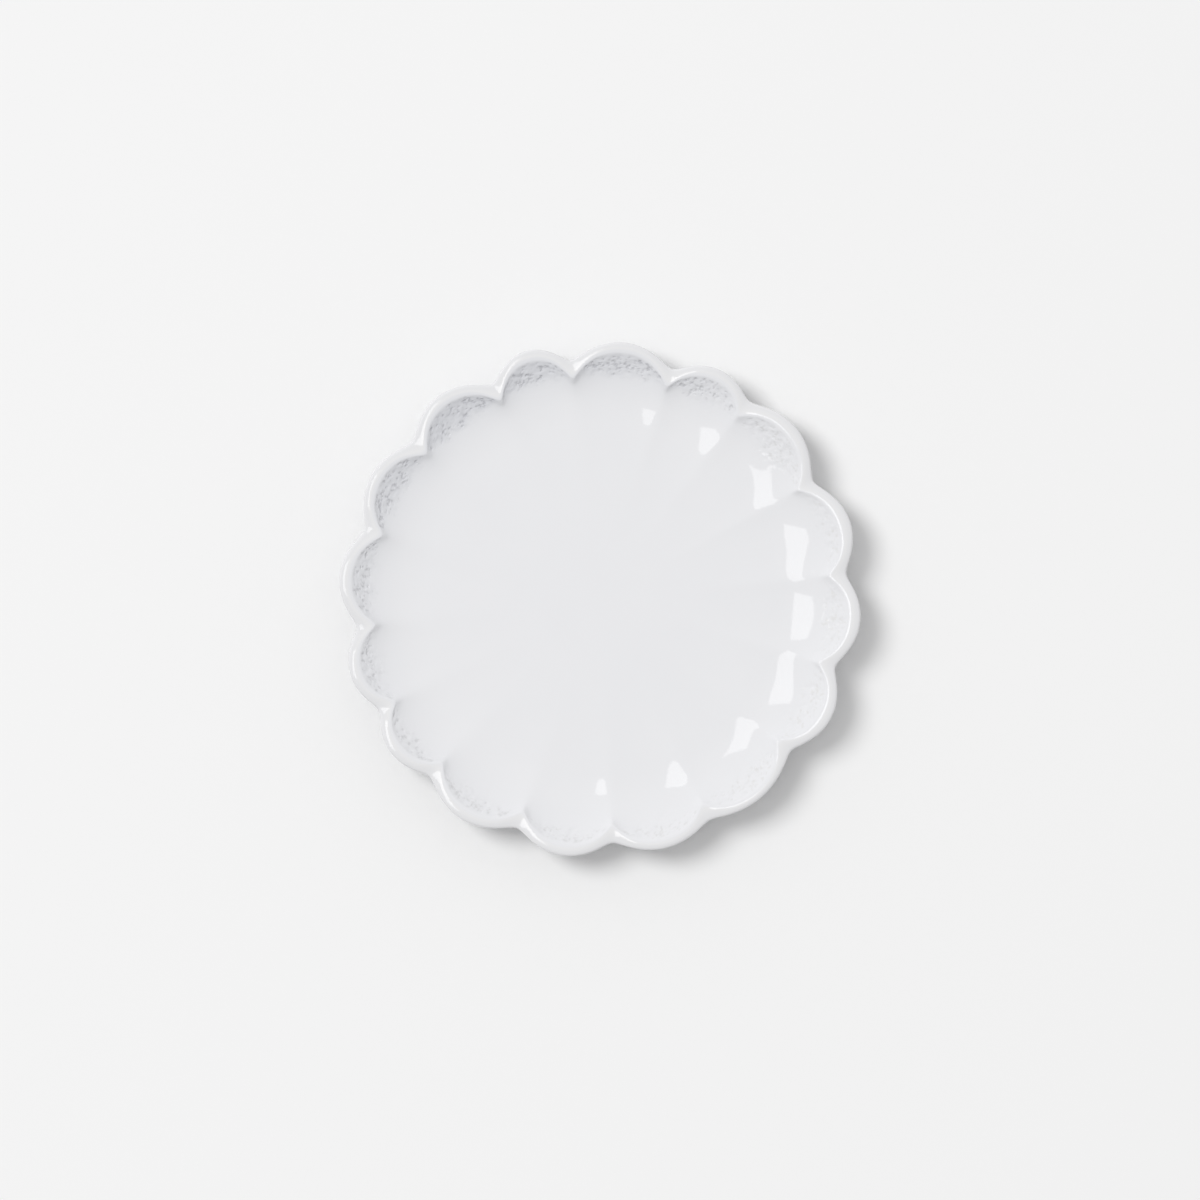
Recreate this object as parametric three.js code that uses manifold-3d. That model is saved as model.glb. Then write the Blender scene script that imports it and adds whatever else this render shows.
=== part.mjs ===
// A bread plate of glazed stoneware: a shallow pressed body whose rim is cut by hand into petals, a foot ring
// luted under it, and a white glaze over everything but the ring that the plate stands on.
// Millimetres, +Z up. The origin is on the table, under the middle of the plate.
import * as THREE from "three";
import { mergeVertices } from "three/addons/utils/BufferGeometryUtils.js";
import Module from "manifold-3d";

// Driving dimensions of the fired clay
const rimRadius = 74.8; // from the axis to the tip of a mean petal
const wellRadius = 51; // flat floor of the well
const wellDepth = 4; // from the floor of the well up to the top of the lip
const floorThickness = 5.6;
const apronLean = 9.1; // degrees, the slope that the face has gained where the cove takes over
const coveWidth = 9.4; // the steep hollow of the face, measured in from the lip
const lipWidth = 2.4; // from the rim in to the start of the lip's inner rounding
const lipShoulder = 2; // rounding from the lip down into the cove
const lipCorner = 0.35; // rounding of the lip's outer corner
const edgeDepth = 2.4; // from the top of the lip down to where the edge starts to curl under
const edgeRound = 1.4; // rounding under the edge
const notchDrop = 0.7; // how far the lip dips at each notch
const notchPinch = 2.2; // how much deeper a notch cuts the inner side of the lip than the rim
const outlineRoot = 57; // inside this radius the rings stay round, whatever the petals do
const ridgeRoot = 42; // radius where the ridges between petals start to rise
const ridgeHeight = 0.53; // how far the ridges stand above the scoops beside them
const ridgeSharpness = 2.5; // power of the rise from scoop to ridge, 1 being a straight flank
const ridgeFull = 54; // radius where a ridge has its full height
const ridgeFade = 9; // a ridge sinks away over this width, in from the lip
const footRadius = 43;
const footHeight = 4;
const footWidth = 6; // where the ring joins the body
const footLean = 0.9; // how far each wall of the ring leans in towards the table
const footEdge = 0.7; // rounding of the ring's two lower edges
const backFlat = 2.5; // level band outside the ring, before the back curves up

// Driving dimensions of the glaze
const glazeThickness = 0.4;
const glazeHoldback = 0.5; // wiped dry this far from the foot ring
const glazeOverlap = 0.8; // how deep each coat's blank reaches into the clay before the clay is cut out of it

// The petals, counter-clockwise from +X. Each one starts at a notch: its bearing in degrees, how deep it is
// cut into the mean rim, and how far the petal's tip then stands past the mean rim.
const petals = [
  { bearing: 6, cut: 3.2, spread: 0.9 },
  { bearing: 29, cut: 4.3, spread: 0.5 },
  { bearing: 53, cut: 3, spread: 0 },
  { bearing: 72.5, cut: 5, spread: -0.2 },
  { bearing: 97, cut: 5.1, spread: 0.1 },
  { bearing: 116.5, cut: 5.2, spread: 0.2 },
  { bearing: 140, cut: 3.9, spread: 0.3 },
  { bearing: 163.5, cut: 3.8, spread: 0.7 },
  { bearing: 186.5, cut: 4, spread: 0.5 },
  { bearing: 206.5, cut: 3.2, spread: 0.1 },
  { bearing: 226, cut: 3.7, spread: 0.2 },
  { bearing: 250, cut: 4.4, spread: 0 },
  { bearing: 273, cut: 4.3, spread: -0.5 },
  { bearing: 296.5, cut: 3.5, spread: -1 },
  { bearing: 321.5, cut: 4.3, spread: 0.3 },
  { bearing: 344, cut: 4, spread: 0.7 },
];

// Facets
const stepsPerPetal = 6;
const arcDivisions = 2; // an arc gets twice as many steps
const footSteps = 64;

const wasm = await Module();
wasm.setup();

// Heights, radii and centres that the section's arcs share
const { degToRad, lerp, smoothstep } = THREE.MathUtils;
const floorTop = footHeight + floorThickness;
const rimHeight = floorTop + wellDepth;
const backStart = footRadius + backFlat;
const lipInner = rimRadius - lipWidth;
const edgeCentre = new THREE.Vector2(rimRadius - edgeRound, rimHeight - edgeDepth);
const cornerCentre = new THREE.Vector2(rimRadius - lipCorner, rimHeight - lipCorner);
const shoulderCentre = new THREE.Vector2(lipInner, rimHeight - lipShoulder);
const angleFrom = (centre, point) => Math.atan2(point.y - centre.y, point.x - centre.x);

// The apron leaves the floor level at the edge of the well, and rises to its lean where the cove starts.
function apronArc() {
  const radius = (lipInner - coveWidth - wellRadius) / Math.sin(degToRad(apronLean));
  return { radius, centre: new THREE.Vector2(wellRadius, floorTop + radius) };
}

// The cove runs on from the apron, and turns over into the lip's shoulder with no corner.
function coveArc(apron) {
  const lean = degToRad(apronLean);
  const inward = new THREE.Vector2(-Math.sin(lean), Math.cos(lean));
  const start = apron.centre.clone().addScaledVector(inward, -apron.radius);
  const apart = start.clone().sub(shoulderCentre);
  const gain = 2 * (lipShoulder - apart.dot(inward));
  const radius = (apart.lengthSq() - lipShoulder * lipShoulder) / gain;
  return { radius, centre: start.addScaledVector(inward, radius) };
}

// The back leaves the underside level, and runs into the rounding under the edge with no corner.
function backArc() {
  const run = edgeCentre.x - backStart;
  const rise = edgeCentre.y - footHeight;
  const radius = (run * run + rise * rise - edgeRound * edgeRound) / (2 * (rise - edgeRound));
  return { radius, centre: new THREE.Vector2(backStart, footHeight + radius) };
}

const apron = apronArc();
const cove = coveArc(apron);
const back = backArc();
const tuckAngle = angleFrom(back.centre, edgeCentre);
const wallEnd = angleFrom(cove.centre, shoulderCentre);
const apronEnd = degToRad(apronLean) - Math.PI / 2;

// Adds the face to a path, from the top of the cove to the axis. Growth moves it out of the clay, or into the
// clay where it is negative.
function addFace(path, growth) {
  return path
    .absarc(cove.centre.x, cove.centre.y, cove.radius - growth, wallEnd, apronEnd, true)
    .absarc(apron.centre.x, apron.centre.y, apron.radius - growth, apronEnd, -Math.PI / 2, true)
    .lineTo(0, floorTop + growth);
}

// The half section from the tuck under the edge, over the lip and down the face to the axis
function faceOutline(growth) {
  const path = new THREE.Path()
    .absarc(edgeCentre.x, edgeCentre.y, edgeRound + growth, tuckAngle, 0, false)
    .absarc(cornerCentre.x, cornerCentre.y, lipCorner + growth, 0, Math.PI / 2, false)
    .absarc(shoulderCentre.x, shoulderCentre.y, lipShoulder + growth, Math.PI / 2, Math.PI + wallEnd, false);
  return addFace(path, growth).getPoints(arcDivisions);
}

// The half section from a start radius on the underside, out and up the back to the tuck under the edge
function backOutline(growth, startRadius) {
  return new THREE.Path()
    .moveTo(startRadius, footHeight - growth)
    .lineTo(backStart, footHeight - growth)
    .absarc(back.centre.x, back.centre.y, back.radius + growth, -Math.PI / 2, tuckAngle, false)
    .getPoints(arcDivisions);
}

// The rim at a place counted in petals: its bearing, how far it lies from the mean rim, how far it dips, how
// far the lip is pinched in there, and how near the place is to a ridge
function rimAt(place) {
  const petal = petals[Math.floor(place) % petals.length];
  const next = petals[(Math.floor(place) + 1) % petals.length];
  const share = place - Math.floor(place);
  const width = (next.bearing - petal.bearing + 360) % 360;
  const arch = 4 * share * (1 - share);
  const chord = lerp(-petal.cut, -next.cut, share);
  const bulge = petal.spread + (petal.cut + next.cut) / 2;
  return {
    bearing: degToRad(petal.bearing + width * share),
    offset: chord + bulge * arch,
    dip: notchDrop * (1 - arch),
    pinch: notchPinch * (1 - arch) ** 2,
    crest: Math.abs(2 * share - 1) ** ridgeSharpness,
  };
}

// How high the ridges stand above the scoops, at a radius of the round section
function ridgeAt(radius) {
  const rise = smoothstep(radius, ridgeRoot, ridgeFull);
  return ridgeHeight * rise * (1 - smoothstep(radius, lipInner - ridgeFade, lipInner));
}

// A turned form whose rings take more of the petals' outline the further out they lie. Points of the outline
// from faceStart on belong to the face, which has the ridges.
function petalled(outline, faceStart) {
  const geometry = new THREE.LatheGeometry(outline, petals.length * stepsPerPetal);
  const position = geometry.getAttribute("position");
  for (let index = 0; index < position.count; index++) {
    const row = index % outline.length;
    const point = outline[row];
    const rim = rimAt(Math.floor(index / outline.length) / stepsPerPetal);
    const climb = smoothstep(point.x, lipInner - coveWidth, lipInner);
    const pinch = rim.pinch * climb * (1 - smoothstep(point.x, lipInner, rimRadius));
    const radius = point.x + rim.offset * smoothstep(point.x, outlineRoot, rimRadius) - pinch;
    const ridge = row < faceStart ? 0 : ridgeAt(point.x) * rim.crest;
    const height = point.y - rim.dip * climb + ridge;
    position.setXYZ(index, radius * Math.cos(rim.bearing), radius * Math.sin(rim.bearing), height);
  }
  geometry.computeVertexNormals();
  return geometry;
}

// A geometry as a solid that can be cut, and back
function solidOf(geometry) {
  const bare = geometry.clone().deleteAttribute("normal").deleteAttribute("uv");
  const merged = mergeVertices(bare);
  return new wasm.Manifold(
    new wasm.Mesh({
      numProp: 3,
      vertProperties: merged.getAttribute("position").array,
      triVerts: new Uint32Array(merged.index.array),
    }),
  );
}

function geometryOf(solid) {
  const { vertProperties, triVerts } = solid.getMesh();
  const geometry = new THREE.BufferGeometry();
  geometry.setAttribute("position", new THREE.BufferAttribute(vertProperties, 3));
  geometry.setIndex(new THREE.BufferAttribute(triVerts, 1));
  geometry.computeVertexNormals();
  return geometry;
}

// Body: underside, back, lip, face and floor, with no foot
function clayBody() {
  const underHalf = [new THREE.Vector2(0, footHeight), ...backOutline(0, footRadius)];
  return petalled([...underHalf, ...faceOutline(0).slice(1)], underHalf.length);
}

// A coat is a blank that follows one side of the clay inside and out, less the clay itself. The coats of the
// face and the back meet on an upright seam at the tuck under the edge.
const grownEdge = edgeRound + glazeThickness;
const seam = new THREE.Vector2(edgeCentre.x + grownEdge * Math.cos(tuckAngle), edgeCentre.y);

function faceGlaze(clay) {
  const inside = addFace(new THREE.Path(), -glazeOverlap).getPoints(arcDivisions).reverse();
  const blank = petalled([...inside, seam, ...faceOutline(glazeThickness)], 0);
  return geometryOf(solidOf(blank).subtract(clay));
}

function backGlaze(clay) {
  const startRadius = footRadius + glazeHoldback;
  const inside = backOutline(-glazeOverlap, startRadius).reverse();
  const outside = backOutline(glazeThickness, startRadius);
  const blank = petalled([...inside, ...outside, seam, inside[0]], Infinity);
  return geometryOf(solidOf(blank).subtract(clay));
}

// The disc of glaze inside the foot ring
function recessGlaze() {
  const radius = footRadius - footWidth - glazeHoldback;
  const outline = new THREE.Path()
    .moveTo(0, footHeight - glazeThickness)
    .lineTo(radius, footHeight - glazeThickness)
    .lineTo(radius, footHeight)
    .lineTo(0, footHeight);
  return new THREE.LatheGeometry(outline.getPoints(), footSteps).rotateX(Math.PI / 2);
}

// The ring that the plate stands on, narrower at the table than at the body
function footRing() {
  const inner = footRadius - footWidth;
  const outline = new THREE.Path()
    .moveTo(inner, footHeight)
    .lineTo(inner + footLean, footEdge)
    .quadraticCurveTo(inner + footLean, 0, inner + footLean + footEdge, 0)
    .lineTo(footRadius - footLean - footEdge, 0)
    .quadraticCurveTo(footRadius - footLean, 0, footRadius - footLean, footEdge)
    .lineTo(footRadius, footHeight)
    .lineTo(inner, footHeight);
  return new THREE.LatheGeometry(outline.getPoints(arcDivisions), footSteps).rotateX(Math.PI / 2);
}

// Finishes
const whiteGlaze = new THREE.MeshStandardMaterial({ color: 0xe9e9eb, roughness: 0.12, metalness: 0 });
const bareClay = new THREE.MeshStandardMaterial({ color: 0xdcd5c9, roughness: 0.85, metalness: 0 });

const plate = new THREE.Group();

function add(name, geometry, material) {
  const mesh = new THREE.Mesh(geometry, material.clone());
  mesh.name = name;
  plate.add(mesh);
}

const body = clayBody();
const clay = solidOf(body);
add("clay_body", body, bareClay);
add("foot_ring", footRing(), bareClay);
add("face_glaze", faceGlaze(clay), whiteGlaze);
add("back_glaze", backGlaze(clay), whiteGlaze);
add("recess_glaze", recessGlaze(), whiteGlaze);

export default plate;
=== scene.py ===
"""Looks of a bread plate in white glazed stoneware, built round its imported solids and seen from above."""
import math

import bpy
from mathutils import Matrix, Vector


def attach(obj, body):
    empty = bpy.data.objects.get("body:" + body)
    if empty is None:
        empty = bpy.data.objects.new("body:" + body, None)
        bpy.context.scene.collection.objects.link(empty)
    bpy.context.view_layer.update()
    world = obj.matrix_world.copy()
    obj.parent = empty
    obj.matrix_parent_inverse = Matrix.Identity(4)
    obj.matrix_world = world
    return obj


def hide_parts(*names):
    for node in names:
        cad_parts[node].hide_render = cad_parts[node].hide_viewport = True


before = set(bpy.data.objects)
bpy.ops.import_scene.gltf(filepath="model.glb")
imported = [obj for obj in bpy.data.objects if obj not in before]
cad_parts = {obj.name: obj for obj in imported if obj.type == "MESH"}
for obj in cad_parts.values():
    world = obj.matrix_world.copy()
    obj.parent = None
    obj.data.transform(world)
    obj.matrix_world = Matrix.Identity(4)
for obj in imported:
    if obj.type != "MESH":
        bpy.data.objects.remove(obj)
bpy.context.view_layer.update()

# Sizes of the fired clay, in millimetres and degrees, as in the part's source. The rim and the lip lie a hair
# inside the solids' own, because the solids' facets cut across the tips of the petals.
MM = 0.001
RIM_TRIM = 0.18
LIP_TRIM = 0.02
RIM_RADIUS = 74.8 - RIM_TRIM
WELL_RADIUS = 51.0
WELL_DEPTH = 4.0 - LIP_TRIM
FLOOR_THICKNESS = 5.6
APRON_LEAN = 9.1
COVE_WIDTH = 9.4
LIP_WIDTH = 2.4
LIP_SHOULDER = 2.0
LIP_CORNER = 0.35
EDGE_DEPTH = 2.4
EDGE_ROUND = 1.4
NOTCH_DROP = 0.7
NOTCH_PINCH = 2.2
OUTLINE_ROOT = 57.0
RIDGE_ROOT = 42.0
RIDGE_HEIGHT = 0.53
RIDGE_SHARPNESS = 2.5
RIDGE_FULL = 54.0
RIDGE_FADE = 9.0
FOOT_RADIUS = 43.0
FOOT_HEIGHT = 4.0
FOOT_WIDTH = 6.0
FOOT_LEAN = 0.9
FOOT_EDGE = 0.7
BACK_FLAT = 2.5
GLAZE = 0.4
GLAZE_HOLDBACK = 0.5

# Roundings that the solids leave out: the lean of the lip's crowned top at its two sides, in degrees, and how
# round the notches and the ridges are, as shares of a petal
LIP_TILT = 8.0
NOTCH_ROUNDING = 0.25
INNER_ROUNDING = 0.3
LEAST_ROUNDING = 0.05
LEAST_BLUNTNESS = 0.06

# The pitted band under the lip, in millimetres. A span is where a change starts and where it is complete: in
# from the band's edge, along a petal's arch, or in the level of a noise.
BAND_EDGE = 71.9
BAND_FUZZ = 4.5
BAND_ROUNDING = 0.45
BAND_SPAN = (0.3, 1.4)
ARCH_SPAN = (0.05, 0.3)
RAGGED_SIZE = 4.0
RAGGED_SHARE = 1.6
LUMP_DEPTH = 0.16
LUMP_SIZE = 2.0
LUMP_SPAN = (0.38, 0.62)
PIT_DEPTH = 0.14
PIT_SIZE = 0.95
PIT_SPAN = (0.52, 0.66)
PIT_THINNING = 0.08
SEED = 5.0
LUMP_DRAW = 3.0
PIT_DRAW = 7.0

# Petals from +X round to the left: notch bearing in degrees, notch cut, tip spread, width of the pitted band,
# how blunt the ridge at the notch is, how much wider the lip is, and how deep the pits are and how much
# painted shade the slope, the band and the pits get, most on the petals that face away from the key lamp
PETALS = [
    (6.0, 3.2, 0.9, 7.0, 0.12, 0.3, 0.1),
    (29.0, 4.3, 0.5, 10.0, 0.05, 0.1, 0.15),
    (53.0, 3.0, 0.0, 9.0, 0.15, -0.2, 0.4),
    (72.5, 5.0, -0.2, 9.0, 0.15, -0.4, 0.75),
    (97.0, 5.1, 0.1, 9.0, 0.30, -0.2, 0.9),
    (116.5, 5.2, 0.2, 10.0, 0.35, -0.2, 1.0),
    (140.0, 3.9, 0.3, 9.0, 0.40, -0.4, 1.0),
    (163.5, 3.8, 0.7, 8.0, 0.40, -0.1, 0.7),
    (186.5, 4.0, 0.5, 7.5, 0.40, -0.2, 0.55),
    (206.5, 3.2, 0.1, 7.0, 0.40, 0.0, 0.45),
    (226.0, 3.7, 0.2, 7.0, 0.35, 0.0, 0.38),
    (250.0, 4.4, 0.0, 7.0, 0.25, 0.0, 0.3),
    (273.0, 4.3, -0.5, 7.0, 0.15, -0.5, 0.25),
    (296.5, 3.5, -1.0, 8.5, 0.10, -0.8, 0.17),
    (321.5, 4.3, 0.3, 9.0, 0.12, 0.0, 0.12),
    (344.0, 4.0, 0.7, 9.0, 0.12, 0.2, 0.1),
]

# Steps of a section along the edge, corner, crown, shoulder, cove and apron, along its other arcs, and round
# one petal
SHOWN_STEPS = (2, 5, 8, 4, 42, 7)
HIDDEN_STEPS = (1, 1, 1, 1, 3, 1)
FLOOR_RINGS = 3
COAT_BACK_STEPS = 18
HIDDEN_BACK_STEPS = 8
CLAY_BACK_STEPS = 14
COAT_EDGE_STEPS = 4
FOOT_EDGE_STEPS = 6
UNDERSIDE_RING = 30
RECESS_RINGS = (0, 9, 18, 27)
FACE_TURN_STEPS = 72
BACK_TURN_STEPS = 40
CLAY_TURN_STEPS = 24
FOOT_TURN_STEPS = 12
MERGE_DISTANCE = 0.002


class Term:
    """A node's output, on which sums are written as sums."""

    def __init__(self, nodes, socket):
        self.nodes = nodes
        self.socket = socket

    def __add__(self, other):
        return self.nodes.math("ADD", self, other)

    def __sub__(self, other):
        return self.nodes.math("SUBTRACT", self, other)

    def __mul__(self, other):
        return self.nodes.math("MULTIPLY", self, other)

    def __truediv__(self, other):
        return self.nodes.math("DIVIDE", self, other)

    def __mod__(self, other):
        return self.nodes.math("FLOORED_MODULO", self, other)

    def __pow__(self, other):
        return self.nodes.math("POWER", self, other)

    def __rsub__(self, other):
        return self.nodes.math("SUBTRACT", other, self)

    def __rtruediv__(self, other):
        return self.nodes.math("DIVIDE", other, self)

    __radd__ = __add__
    __rmul__ = __mul__

    def __neg__(self):
        return 0.0 - self


class Nodes:
    """Adds nodes to one tree, geometry or shader."""

    def __init__(self, tree):
        self.tree = tree

    def add(self, kind, sockets=None, out=0, **settings):
        node = self.tree.nodes.new(kind)
        for name, value in settings.items():
            setattr(node, name, value)
        for key, value in (sockets or {}).items():
            self.feed(node.inputs[key], value)
        return Term(self, node.outputs[out]) if node.outputs else None

    def feed(self, socket, value):
        if isinstance(value, Term):
            self.tree.links.new(value.socket, socket)
        else:
            socket.default_value = value

    def math(self, operation, *terms):
        return self.add("ShaderNodeMath", dict(enumerate(terms)), operation=operation)

    def rise(self, value, low, high):
        """0 at low, 1 at high, smooth between and level beyond."""
        limits = {"Value": value, "From Min": low, "From Max": high}
        return self.add("ShaderNodeMapRange", limits, interpolation_type="SMOOTHSTEP")

    def vector(self, x, y, z):
        return self.add("ShaderNodeCombineXYZ", {"X": x, "Y": y, "Z": z})

    def scaled(self, vector, factor):
        return self.add("ShaderNodeVectorMath", {0: vector, "Scale": factor}, operation="SCALE")

    def noise(self, vector, size, seed, detail=2.0):
        sockets = {"Vector": vector, "W": seed, "Scale": 1.0 / size, "Detail": detail}
        return self.add("ShaderNodeTexNoise", sockets, noise_dimensions="4D")

    def mix(self, factor, low, high):
        """A colour between two colours."""
        sockets = {"Factor": factor, 6: low, 7: high}
        return self.add("ShaderNodeMix", sockets, out=2, data_type="RGBA")


# Half sections, as (radius, height) in millimetres
def arc(centre, radius, start, end, steps):
    """Points along part of a circle, angles in degrees."""
    angles = [math.radians(start + (end - start) * i / steps) for i in range(steps + 1)]
    return [(centre[0] + radius * math.cos(a), centre[1] + radius * math.sin(a)) for a in angles]


def angle_from(centre, point):
    return math.degrees(math.atan2(point[1] - centre[1], point[0] - centre[0]))


FLOOR_TOP = FOOT_HEIGHT + FLOOR_THICKNESS
RIM_HEIGHT = FLOOR_TOP + WELL_DEPTH
LIP_INNER = RIM_RADIUS - LIP_WIDTH
BACK_START = FOOT_RADIUS + BACK_FLAT
EDGE_CENTRE = (RIM_RADIUS - EDGE_ROUND, RIM_HEIGHT - EDGE_DEPTH)


def crown_circle():
    """The lip's top, a little crowned, which runs into its corner and its shoulder."""
    lean = math.sin(math.radians(LIP_TILT))
    radius = ((LIP_WIDTH - LIP_CORNER) / lean + LIP_SHOULDER + LIP_CORNER) / 2
    return (LIP_INNER + (radius - LIP_SHOULDER) * lean, RIM_HEIGHT - radius), radius


def under_crown(radius):
    """How high the centre of a rounding lies that runs into the crown."""
    return CROWN_CENTRE[1] + (CROWN_RADIUS - radius) * math.cos(math.radians(LIP_TILT))


def apron_circle():
    """Level at the edge of the well, and leaning where the cove takes over."""
    radius = (LIP_INNER - COVE_WIDTH - WELL_RADIUS) / math.sin(math.radians(APRON_LEAN))
    return (WELL_RADIUS, FLOOR_TOP + radius), radius


def cove_circle():
    """Running from the apron up into the lip's shoulder."""
    lean = math.radians(APRON_LEAN)
    inward = Vector((-math.sin(lean), math.cos(lean)))
    start = Vector(APRON_CENTRE) - inward * APRON_RADIUS
    apart = start - Vector(SHOULDER_CENTRE)
    radius = (apart.length_squared - LIP_SHOULDER**2) / (2 * (LIP_SHOULDER - apart.dot(inward)))
    return tuple(start + inward * radius), radius


def back_circle():
    """Level under the foot, and running into the rounding under the edge."""
    run, rise = EDGE_CENTRE[0] - BACK_START, EDGE_CENTRE[1] - FOOT_HEIGHT
    radius = (run * run + rise * rise - EDGE_ROUND**2) / (2 * (rise - EDGE_ROUND))
    return (BACK_START, FOOT_HEIGHT + radius), radius


CROWN_CENTRE, CROWN_RADIUS = crown_circle()
CORNER_CENTRE = (RIM_RADIUS - LIP_CORNER, under_crown(LIP_CORNER))
SHOULDER_CENTRE = (LIP_INNER, under_crown(LIP_SHOULDER))
APRON_CENTRE, APRON_RADIUS = apron_circle()
COVE_CENTRE, COVE_RADIUS = cove_circle()
BACK_CENTRE, BACK_RADIUS = back_circle()
TUCK = angle_from(BACK_CENTRE, EDGE_CENTRE)
WALL_END = angle_from(COVE_CENTRE, SHOULDER_CENTRE)
APRON_END = APRON_LEAN - 90


def back_bend(growth, steps):
    return arc(BACK_CENTRE, BACK_RADIUS + growth, -90, TUCK, steps)


def face_side(growth, steps, floor_rings):
    """From the tuck round the edge, over the lip, down the face and across the floor to the axis."""
    edge, corner, crown, shoulder, cove, apron = steps
    left, right = 90 + LIP_TILT, 90 - LIP_TILT
    return [
        *arc(EDGE_CENTRE, EDGE_ROUND + growth, TUCK, 0, edge),
        *arc(CORNER_CENTRE, LIP_CORNER + growth, 0, right, corner),
        *arc(CROWN_CENTRE, CROWN_RADIUS + growth, right, left, crown)[1:],
        *arc(SHOULDER_CENTRE, LIP_SHOULDER + growth, left, 180 + WALL_END, shoulder)[1:],
        *arc(COVE_CENTRE, COVE_RADIUS - growth, WALL_END, APRON_END, cove)[1:],
        *arc(APRON_CENTRE, APRON_RADIUS - growth, APRON_END, -90, apron)[1:],
        *[(WELL_RADIUS * i / floor_rings, FLOOR_TOP + growth) for i in reversed(range(floor_rings))],
    ]


def shown_face():
    return face_side(GLAZE, SHOWN_STEPS, FLOOR_RINGS)


def hidden_face():
    return face_side(0, HIDDEN_STEPS, 1)


def face_coat_section():
    return [*shown_face(), *reversed(hidden_face())]


def back_coat_section():
    start = FOOT_RADIUS + GLAZE_HOLDBACK
    edge = arc((start + GLAZE, FOOT_HEIGHT), GLAZE, 180, 270, COAT_EDGE_STEPS)
    inside = [(start, FOOT_HEIGHT), *back_bend(0, HIDDEN_BACK_STEPS)]
    return [*edge, *back_bend(GLAZE, COAT_BACK_STEPS), *reversed(inside)]


def clay_back():
    return [(0, FOOT_HEIGHT), (UNDERSIDE_RING, FOOT_HEIGHT), *back_bend(0, CLAY_BACK_STEPS)]


def foot_section():
    outer, inner = FOOT_RADIUS, FOOT_RADIUS - FOOT_WIDTH
    left, right = inner + FOOT_LEAN + FOOT_EDGE, outer - FOOT_LEAN - FOOT_EDGE
    return [
        (inner, FOOT_HEIGHT),
        *arc((left, FOOT_EDGE), FOOT_EDGE, 180, 270, FOOT_EDGE_STEPS),
        ((left + right) / 2, 0),
        *arc((right, FOOT_EDGE), FOOT_EDGE, 270, 360, FOOT_EDGE_STEPS),
        (outer, FOOT_HEIGHT),
    ]


def recess_section():
    edge = FOOT_RADIUS - FOOT_WIDTH - GLAZE_HOLDBACK - GLAZE
    across = [(radius, FOOT_HEIGHT - GLAZE) for radius in RECESS_RINGS]
    return [*across, *arc((edge, FOOT_HEIGHT), GLAZE, 270, 360, COAT_EDGE_STEPS), (0, FOOT_HEIGHT)]


# The rule that turns a section round the axis and works its rim into petals, with its sizes in metres
SIZES = {
    "Outline Root": OUTLINE_ROOT * MM,
    "Rim Radius": RIM_RADIUS * MM,
    "Lip Inner": LIP_INNER * MM,
    "Cove Width": COVE_WIDTH * MM,
    "Notch Drop": NOTCH_DROP * MM,
    "Notch Pinch": NOTCH_PINCH * MM,
    "Notch Rounding": NOTCH_ROUNDING,
    "Ridge Root": RIDGE_ROOT * MM,
    "Ridge Height": RIDGE_HEIGHT * MM,
    "Ridge Sharpness": RIDGE_SHARPNESS,
    "Ridge Full": RIDGE_FULL * MM,
    "Ridge Fade": RIDGE_FADE * MM,
    "Band Edge": BAND_EDGE * MM,
    "Band Fuzz": BAND_FUZZ * MM,
    "Lump Depth": LUMP_DEPTH * MM,
    "Lump Size": LUMP_SIZE * MM,
    "Pit Depth": PIT_DEPTH * MM,
    "Pit Size": PIT_SIZE * MM,
    "Seed": SEED,
}
SHAPING = {
    "Section": "NodeSocketGeometry",
    "Petals": "NodeSocketObject",
    "Steps": "NodeSocketInt",
    "Material": "NodeSocketMaterial",
    **{name: "NodeSocketFloat" for name in SIZES},
}


def in_metres(span):
    return [end * MM for end in span]


def petalled_turning():
    tree = bpy.data.node_groups.new("petalled_turning", "GeometryNodeTree")
    for name, kind in SHAPING.items():
        tree.interface.new_socket(name=name, in_out="INPUT", socket_type=kind)
    tree.interface.new_socket(name="Shape", in_out="OUTPUT", socket_type="NodeSocketGeometry")
    n = Nodes(tree)
    group = tree.nodes.new("NodeGroupInput")
    given = {name: Term(n, group.outputs[name]) for name in SHAPING}
    shape = pitted(n, given, turned_grid(n, given))
    shape = n.add("GeometryNodeSetShadeSmooth", {"Geometry": shape})
    shape = n.add("GeometryNodeRealizeInstances", {"Geometry": shape})
    shape = n.add("GeometryNodeSetMaterial", {"Geometry": shape, "Material": given["Material"]})
    n.feed(tree.nodes.new("NodeGroupOutput").inputs["Shape"], shape)
    return tree


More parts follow.
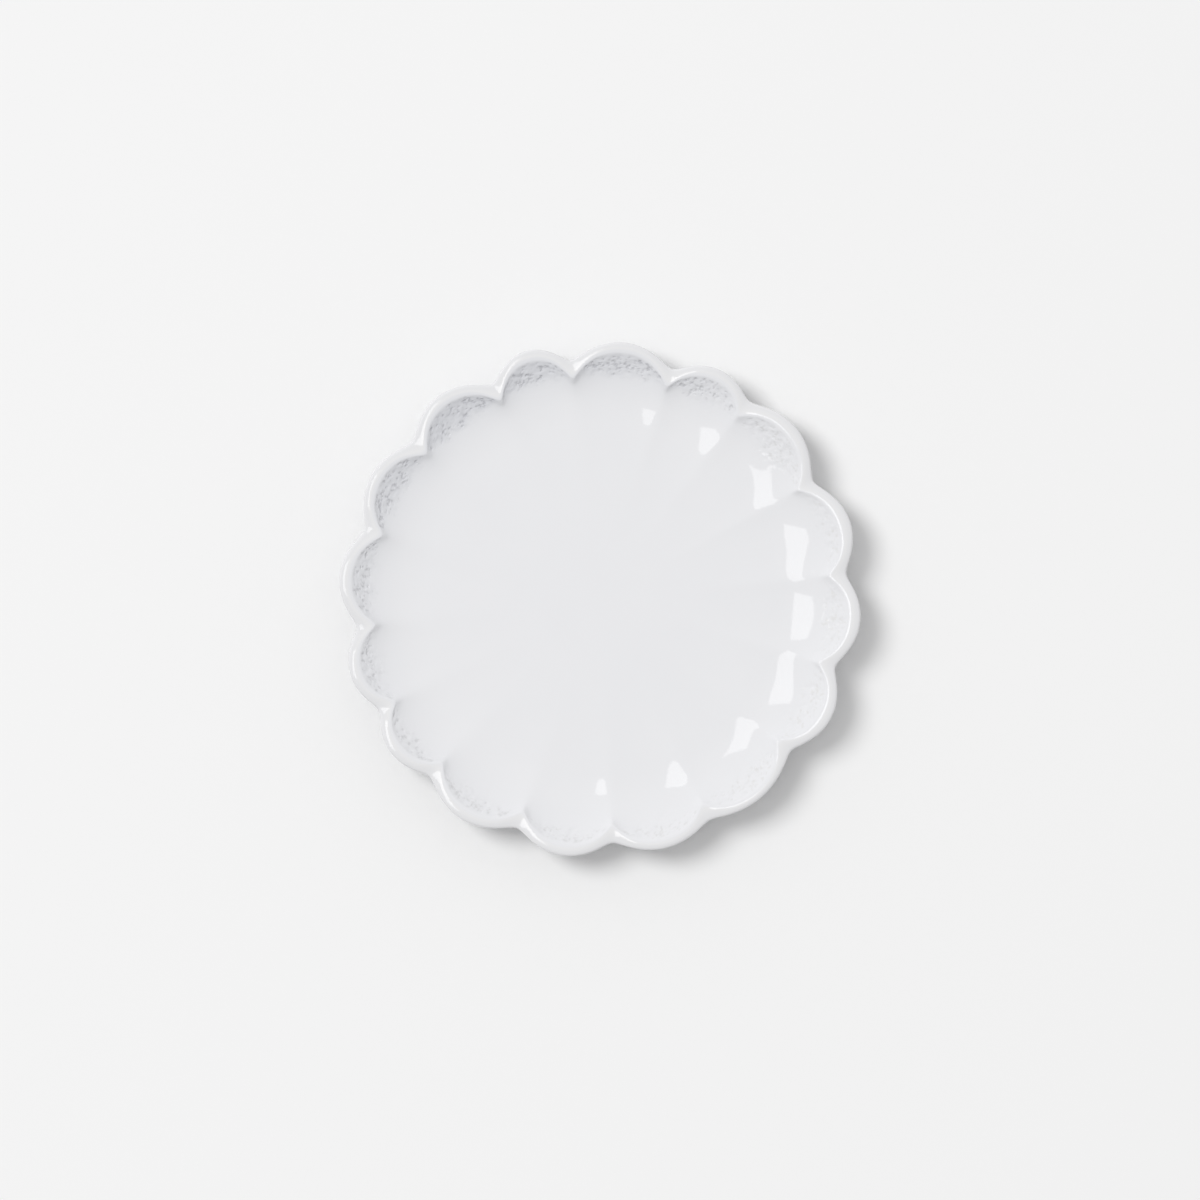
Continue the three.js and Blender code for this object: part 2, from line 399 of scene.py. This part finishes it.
def turned_grid(n, given):
    """The section at every bearing, its outer rings drawn out into petals."""
    table = n.add("GeometryNodeObjectInfo", {"Object": given["Petals"]}, out="Geometry")
    rows = n.add("GeometryNodeAttributeDomainSize", {"Geometry": given["Section"]})
    petals = n.add("GeometryNodeAttributeDomainSize", {"Geometry": table})
    grid = n.add("GeometryNodeMeshGrid", {"Vertices X": petals * given["Steps"] + 1, "Vertices Y": rows})
    index = n.add("GeometryNodeInputIndex")
    column = n.math("FLOOR", (index + 0.5) / rows)
    place = column / given["Steps"]
    share = n.math("FRACT", place)

    def listed(geometry, name, at):
        value = n.add("GeometryNodeInputNamedAttribute", {"Name": name})
        return n.add("GeometryNodeSampleIndex", {"Geometry": geometry, "Value": value, "Index": at})

    def ring(name):
        return listed(given["Section"], name, index - column * rows)

    def petal(name, step=0):
        return listed(table, name, (n.math("FLOOR", place) + step) % petals)

    def between(name):
        return petal(name) * (1.0 - share) + petal(name, 1) * share

    radius, skin, dull = ring("radius"), ring("skin"), between("blunt")
    arch = share * (1.0 - share) * 4.0
    edge = n.rise(radius, given["Band Edge"], given["Rim Radius"])
    hump = rounded_arch(n, given, arch, edge, dull)
    offset = (petal("spread") + (petal("cut") + petal("cut", 1)) * 0.5) * hump - between("cut")
    grip = n.rise(radius, given["Outline Root"], given["Rim Radius"])
    climb = n.rise(radius, given["Lip Inner"] - given["Cove Width"], given["Lip Inner"])
    pinch = climb * (1.0 - n.rise(radius, given["Lip Inner"], given["Rim Radius"]))
    tuck = given["Notch Pinch"] * (1.0 - hump) ** 2.0 + petal("lip") * hump
    reach = radius + offset * grip - tuck * pinch
    dip = given["Notch Drop"] * (1.0 - hump) * climb
    level = ring("height") - dip + ridge(n, given, radius, share, dull) * ring("face")
    bearing = petal("bearing") + petal("width") * share
    spot = n.vector(reach * n.math("COSINE", bearing), reach * n.math("SINE", bearing), level)
    grid = n.add("GeometryNodeSetPosition", {"Geometry": grid, "Position": spot})
    grid = marked(n, grid, {
        "lip": edge * skin,
        "depth": given["Band Edge"] - radius,
        "arch": arch,
        "band": petal("band"),
        # how deep the pits go, and how much painted shade the slope, the band and the pits get
        "press": between("press"),
        "skin": skin,
    })
    return n.add("GeometryNodeMergeByDistance", {"Geometry": grid, "Distance": MERGE_DISTANCE * MM})


def rounded_arch(n, given, arch, edge, dull):
    """0 at a notch and 1 at a petal's tip, with the notch rounded off."""
    soft = given["Notch Rounding"] * edge + dull * (1.0 - edge) * INNER_ROUNDING + LEAST_ROUNDING
    full = n.math("SQRT", soft * soft + 1.0) - soft
    return (n.math("SQRT", arch * arch + soft * soft) - soft) / full


def ridge(n, given, radius, share, dull):
    """How far the face stands above its scoops on the way to the ridge at a notch."""
    blunt = dull * n.rise(radius, given["Band Edge"], given["Ridge Root"]) + LEAST_BLUNTNESS
    flank = 1.0 - n.math("ABSOLUTE", share * 2.0 - 1.0)
    flank = n.math("SQRT", flank * flank + blunt * blunt)
    crest = n.math("MAXIMUM", 1.0 - flank, 0.0) ** given["Ridge Sharpness"]
    full = n.rise(radius, given["Ridge Root"], given["Ridge Full"])
    sunk = n.rise(radius, given["Lip Inner"] - given["Ridge Fade"], given["Lip Inner"])
    return given["Ridge Height"] * (full * (1.0 - sunk)) * crest


def marked(n, shape, values):
    """Stores each value on the shape under its name."""
    for name, value in values.items():
        shape = n.add("GeometryNodeStoreNamedAttribute", {"Geometry": shape, "Name": name, "Value": value})
    return shape


def pitted(n, given, shape):
    """Presses the pitted band into each petal under the lip."""
    def stored(name):
        return n.add("GeometryNodeInputNamedAttribute", {"Name": name})

    spot, depth, arch = n.add("GeometryNodeInputPosition"), stored("depth"), stored("arch")
    ragged = (n.noise(spot, RAGGED_SIZE * MM, given["Seed"]) - 0.5) * given["Band Fuzz"] * RAGGED_SHARE
    width = stored("band") * arch ** BAND_ROUNDING + ragged
    inner = 1.0 - n.rise(depth, width - given["Band Fuzz"], width)
    band = inner * n.rise(depth, *in_metres(BAND_SPAN)) * n.rise(arch, *ARCH_SPAN) * stored("skin")
    lump = n.rise(n.noise(spot, given["Lump Size"], given["Seed"] + LUMP_DRAW), *LUMP_SPAN)
    pocked = n.noise(spot, given["Pit Size"], given["Seed"] + PIT_DRAW) - (1.0 - band) * PIT_THINNING
    pit = band * n.rise(pocked, *PIT_SPAN)
    sunk = lump * band * given["Lump Depth"] + pit * stored("press") * given["Pit Depth"]
    push = n.scaled(n.add("GeometryNodeInputNormal"), -sunk)
    shape = marked(n, shape, {"band_mask": band, "pit": pit})
    return n.add("GeometryNodeSetPosition", {"Geometry": shape, "Offset": push})


def point_list(name, columns):
    """A mesh of loose points that carries one named list per column."""
    count = len(next(iter(columns.values())))
    mesh = bpy.data.meshes.new(name)
    mesh.from_pydata([(0, 0, 0)] * count, [], [])
    for column, values in columns.items():
        mesh.attributes.new(column, "FLOAT", "POINT").data.foreach_set("value", values)
    piece = bpy.data.objects.new(name, mesh)
    bpy.context.scene.collection.objects.link(piece)
    return piece


def petal_table():
    bearings = [math.radians(p[0]) for p in PETALS]
    turned = bearings[1:] + [bearings[0] + math.tau]
    return point_list("petal_table", {
        "bearing": bearings,
        "width": [b - a for a, b in zip(bearings, turned)],
        "cut": [p[1] * MM for p in PETALS],
        "spread": [p[2] * MM for p in PETALS],
        "band": [p[3] * MM for p in PETALS],
        "blunt": [p[4] for p in PETALS],
        "lip": [p[5] * MM for p in PETALS],
        "press": [p[6] for p in PETALS],
    })


def turned_piece(name, section, shaping, given, skin_rows=0, face_row=math.inf):
    """Turns one section into a finished piece. Its first rows may be a pitted skin, and its rows from
    face_row on have the ridges."""
    points = section + section[:1]
    rows = range(len(points))
    piece = point_list(name, {
        "radius": [p[0] * MM for p in points],
        "height": [p[1] * MM for p in points],
        "skin": [float(row < skin_rows) for row in rows],
        "face": [float(row >= face_row) for row in rows],
    })
    modifier = piece.modifiers.new("turning", "NODES")
    modifier.node_group = shaping
    for item in shaping.interface.items_tree:
        if item.in_out == "INPUT" and item.name in given:
            modifier[item.identifier] = given[item.name]
    depsgraph = bpy.context.evaluated_depsgraph_get()
    evaluated = piece.evaluated_get(depsgraph)
    mesh = bpy.data.meshes.new_from_object(evaluated, preserve_all_data_layers=True, depsgraph=depsgraph)
    piece.modifiers.clear()
    piece.data = mesh
    return piece


# Finishes. Colours are linear, sizes are in millimetres, and a share is how much of a tone shows at most.
CLOUD_SIZE = 22.0
CLOUD_TONES = (0.80, 0.803, 0.823, 1), (0.828, 0.828, 0.843, 1)
# Painted shade on the face: it darkens towards the lip, most on the petals that face away from the key lamp
SLOPE_SHADE_TONE = (0.763, 0.769, 0.796, 1)
SLOPE_SHADE_SPAN = (2.0, 16.0)
SLOPE_SHADE_SHARE = 0.1
SHADED_SIDE_SLOPE_SHARE = 0.75
# Painted shade in the pitted band, on the petals that face away from the key lamp
BAND_SHADE_TONE = (0.60, 0.61, 0.65, 1)
BAND_SHADE_SHARE = 0.5
LIP_TONE = (0.800, 0.798, 0.806, 1)
LIP_SPAN = (0.0, 0.35)
# Painted shade along the lip's outer edge, where it rolls over
EDGE_SHADE_TONE = (0.770, 0.771, 0.785, 1)
EDGE_SHADE_SPAN = (0.3, 0.9)
FAINT_PIT_TONE = (0.60, 0.575, 0.50, 1)
FAINT_PIT_SHARE = 0.22
# Painted shade in the pits, strongest on the petals that face away from the key lamp
PIT_SHADE_TONE = (0.42, 0.425, 0.46, 1)
PIT_SHADE_SHARE = 0.55
STRONG_SPAN = (0.0, 0.8)
SPECK_SIZE = 0.7
SPECK_DEPTH = 0.06
PIT_RELIEF = 2.0
GLAZE_ROUGHNESS = 0.03
CLOUD_ROUGHNESS = 0.02
BAND_ROUGHNESS = 0.03
GLAZE_IOR = 1.5
COAT_SHARE = 0.95
COAT_SPAN = (0.0, 0.04)
COAT_WEAR = 0.5
COAT_WEAR_SPAN = (0.2, 0.8)
CLAY_TONES = (0.66, 0.60, 0.52, 1), (0.76, 0.71, 0.63, 1)
CLAY_PATCH_SIZE = 11.0
GRAIN_TONE = (0.45, 0.37, 0.29, 1)
GRAIN_SIZE = 0.6
GRAIN_SPAN = (0.62, 0.72)
GRAIN_DEPTH = 0.3
GRAIN_STRENGTH = 0.5
CLAY_ROUGHNESS = 0.75
PATCH_ROUGHNESS = 0.2
FLOOR_TONES = (0.905, 0.905, 0.905, 1), (0.911, 0.911, 0.911, 1)
FLOOR_CLOUD_SIZE = 300.0
FLOOR_ROUGHNESS = 0.9


def material(name):
    made = bpy.data.materials.new(name)
    made.use_nodes = True
    made.node_tree.nodes.clear()
    return made, Nodes(made.node_tree)


def surface(n, sockets):
    shader = n.add("ShaderNodeBsdfPrincipled", sockets)
    n.add("ShaderNodeOutputMaterial", {"Surface": shader})


def white_glaze():
    made, n = material("white_glaze")
    spot = n.add("ShaderNodeTexCoord", out="Object")

    def carried(name):
        return n.add("ShaderNodeAttribute", out="Fac", attribute_name=name)

    lip, band, pit, press = carried("lip"), carried("band_mask"), carried("pit"), carried("press")
    slope_shade = 1.0 - n.rise(carried("depth"), *in_metres(SLOPE_SHADE_SPAN))
    strong = n.rise(press, *STRONG_SPAN)
    cloud = n.noise(spot, CLOUD_SIZE * MM, seed=1.0, detail=3.0)
    speck = n.noise(spot, SPECK_SIZE * MM, seed=2.0)
    tone = n.mix(cloud, *CLOUD_TONES)
    # painted shade: the face darkens towards the lip, most on the petals that face away from the key lamp
    tone = n.mix(slope_shade * (press * SHADED_SIDE_SLOPE_SHARE + SLOPE_SHADE_SHARE), tone, SLOPE_SHADE_TONE)
    # painted shade in the pitted band, on the petals that face away from the key lamp
    tone = n.mix(band * press * press * BAND_SHADE_SHARE, tone, BAND_SHADE_TONE)
    tone = n.mix(n.rise(lip, *LIP_SPAN), tone, LIP_TONE)
    # painted shade along the lip's outer edge, where it rolls over
    tone = n.mix(n.rise(lip, *EDGE_SHADE_SPAN), tone, EDGE_SHADE_TONE)
    tone = n.mix(pit * (1.0 - press) * FAINT_PIT_SHARE, tone, FAINT_PIT_TONE)
    # painted shade in the pits, strongest on the petals that face away from the key lamp
    tone = n.mix(pit * strong * PIT_SHADE_SHARE, tone, PIT_SHADE_TONE)
    relief = speck * band - pit * strong * PIT_RELIEF
    surface(n, {
        "Base Color": tone,
        "Roughness": GLAZE_ROUGHNESS + cloud * CLOUD_ROUGHNESS + band * BAND_ROUGHNESS,
        "IOR": GLAZE_IOR,
        "Normal": n.add("ShaderNodeBump", {"Height": relief, "Strength": 1.0, "Distance": SPECK_DEPTH * MM}),
        "Coat Weight": n.rise(lip, *COAT_SPAN) * (COAT_SHARE - n.rise(lip, *COAT_WEAR_SPAN) * COAT_WEAR),
        "Coat IOR": GLAZE_IOR,
        "Coat Roughness": GLAZE_ROUGHNESS,
    })
    return made


def bare_stoneware():
    made, n = material("bare_stoneware")
    spot = n.add("ShaderNodeTexCoord", out="Object")
    grain = n.noise(spot, GRAIN_SIZE * MM, seed=4.0, detail=4.0)
    patch = n.noise(spot, CLAY_PATCH_SIZE * MM, seed=5.0, detail=3.0)
    tone = n.mix(patch, *CLAY_TONES)
    tone = n.mix(n.rise(grain, *GRAIN_SPAN), tone, GRAIN_TONE)
    relief = {"Height": grain, "Strength": GRAIN_STRENGTH, "Distance": GRAIN_DEPTH * MM}
    rough = CLAY_ROUGHNESS + patch * PATCH_ROUGHNESS
    surface(n, {"Base Color": tone, "Roughness": rough, "Normal": n.add("ShaderNodeBump", relief)})
    return made


def pale_floor():
    made, n = material("pale_floor")
    spot = n.add("ShaderNodeTexCoord", out="Object")
    tone = n.mix(n.noise(spot, FLOOR_CLOUD_SIZE * MM, seed=6.0), *FLOOR_TONES)
    surface(n, {"Base Color": tone, "Roughness": FLOOR_ROUGHNESS, "Specular IOR Level": 0.0})
    return made


# The plate
def plate():
    shaping = petalled_turning()
    petals = petal_table()
    finishes = {"glaze": white_glaze(), "stoneware": bare_stoneware()}

    def add_piece(name, node, slot, steps, section, **rows):
        given = {**SIZES, "Petals": petals, "Steps": steps, "Material": finishes[slot]}
        piece = turned_piece(name, section, shaping, given, **rows)
        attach(piece, "root")
        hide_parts(node)

    clay = [*clay_back(), *hidden_face()]
    skin = {"skin_rows": len(shown_face()), "face_row": 0}
    add_piece("glaze_on_face", "face_glaze", "glaze", FACE_TURN_STEPS, face_coat_section(), **skin)
    add_piece("glaze_on_back", "back_glaze", "glaze", BACK_TURN_STEPS, back_coat_section())
    add_piece("glaze_in_recess", "recess_glaze", "glaze", FOOT_TURN_STEPS, recess_section())
    add_piece("pressed_body", "clay_body", "stoneware", CLAY_TURN_STEPS, clay, face_row=len(clay_back()))
    add_piece("foot_ring_bare", "foot_ring", "stoneware", FOOT_TURN_STEPS, foot_section())
    bpy.data.objects.remove(petals)


# Floor, light and camera. Lamps stand at a bearing and an angle from upright, in degrees, and a distance and
# sizes in metres.
FLOOR_SIZE = 40
KEY_PLACE = (150, 33, 8)
KEY = {"energy": 327, "shape": "ELLIPSE", "size": 3.2, "size_y": 4.0}
SOFTBOX_PLACE = (175, 10.2, 6)
SOFTBOX = {"energy": 9.2, "shape": "RECTANGLE", "size": 1.5, "size_y": 0.86}
ROOM_LIGHT = 0.55
ROOM_LEAN = 0.30
ROOM_BEARING = 66
BACKDROP_TONE = (0.89, 0.89, 0.89, 1)
CAMERA_HEIGHT = 3.0
CAMERA_SHIFT = -0.15
SENSOR_WIDTH = 36
PHOTO_PIXELS = 1200
PIXEL_SIZE = 0.28975


def toward(azimuth, zenith):
    a, z = math.radians(azimuth), math.radians(zenith)
    return Vector((math.sin(z) * math.cos(a), math.sin(z) * math.sin(a), math.cos(z)))


def lamp(name, azimuth, zenith, distance, settings):
    data = bpy.data.lights.new(name, "AREA")
    for key, value in settings.items():
        setattr(data, key, value)
    made = bpy.data.objects.new(name, data)
    made.location = toward(azimuth, zenith) * distance
    made.rotation_euler = toward(azimuth, zenith).to_track_quat("Z", "Y").to_euler()
    bpy.context.scene.collection.objects.link(made)
    return made


def room():
    """Soft light from all round, a little stronger from one side, with an even backdrop where it is seen."""
    world = bpy.data.worlds.new("studio")
    bpy.context.scene.world = world
    world.use_nodes = True
    world.node_tree.nodes.clear()
    n = Nodes(world.node_tree)
    heading = n.add("ShaderNodeTexCoord", out="Generated")
    sides = {0: heading, 1: toward(ROOM_BEARING, 90)}
    across = n.add("ShaderNodeVectorMath", sides, out="Value", operation="DOT_PRODUCT")
    strength = ROOM_LIGHT * (1.0 + across * ROOM_LEAN)
    light = n.add("ShaderNodeBackground", {"Color": (1, 1, 1, 1), "Strength": strength})
    backdrop = n.add("ShaderNodeBackground", {"Color": BACKDROP_TONE})
    seen = n.math("MAXIMUM", n.add("ShaderNodeLightPath", out="Is Camera Ray"),
                  n.add("ShaderNodeLightPath", out="Is Glossy Ray"))
    sky = n.add("ShaderNodeMixShader", {0: seen, 1: light, 2: backdrop})
    n.add("ShaderNodeOutputWorld", {"Surface": sky})


def studio():
    bpy.ops.mesh.primitive_plane_add(size=FLOOR_SIZE)
    floor = bpy.context.object
    floor.name = "floor"
    floor.data.materials.append(pale_floor())
    lamp("key", *KEY_PLACE, KEY).visible_glossy = False
    lamp("softbox", *SOFTBOX_PLACE, SOFTBOX).visible_camera = False
    room()


def camera():
    """Straight above the plate, with the photograph's width in view at the height of the lip."""
    data = bpy.data.cameras.new("camera")
    data.sensor_width = SENSOR_WIDTH
    data.lens = SENSOR_WIDTH * (CAMERA_HEIGHT - RIM_HEIGHT * MM) / (PHOTO_PIXELS * PIXEL_SIZE * MM)
    made = bpy.data.objects.new("camera", data)
    made.location = (0, CAMERA_SHIFT * MM, CAMERA_HEIGHT)
    bpy.context.scene.collection.objects.link(made)
    bpy.context.scene.camera = made


plate()
studio()
camera()
bpy.context.scene.view_settings.view_transform = "Standard"
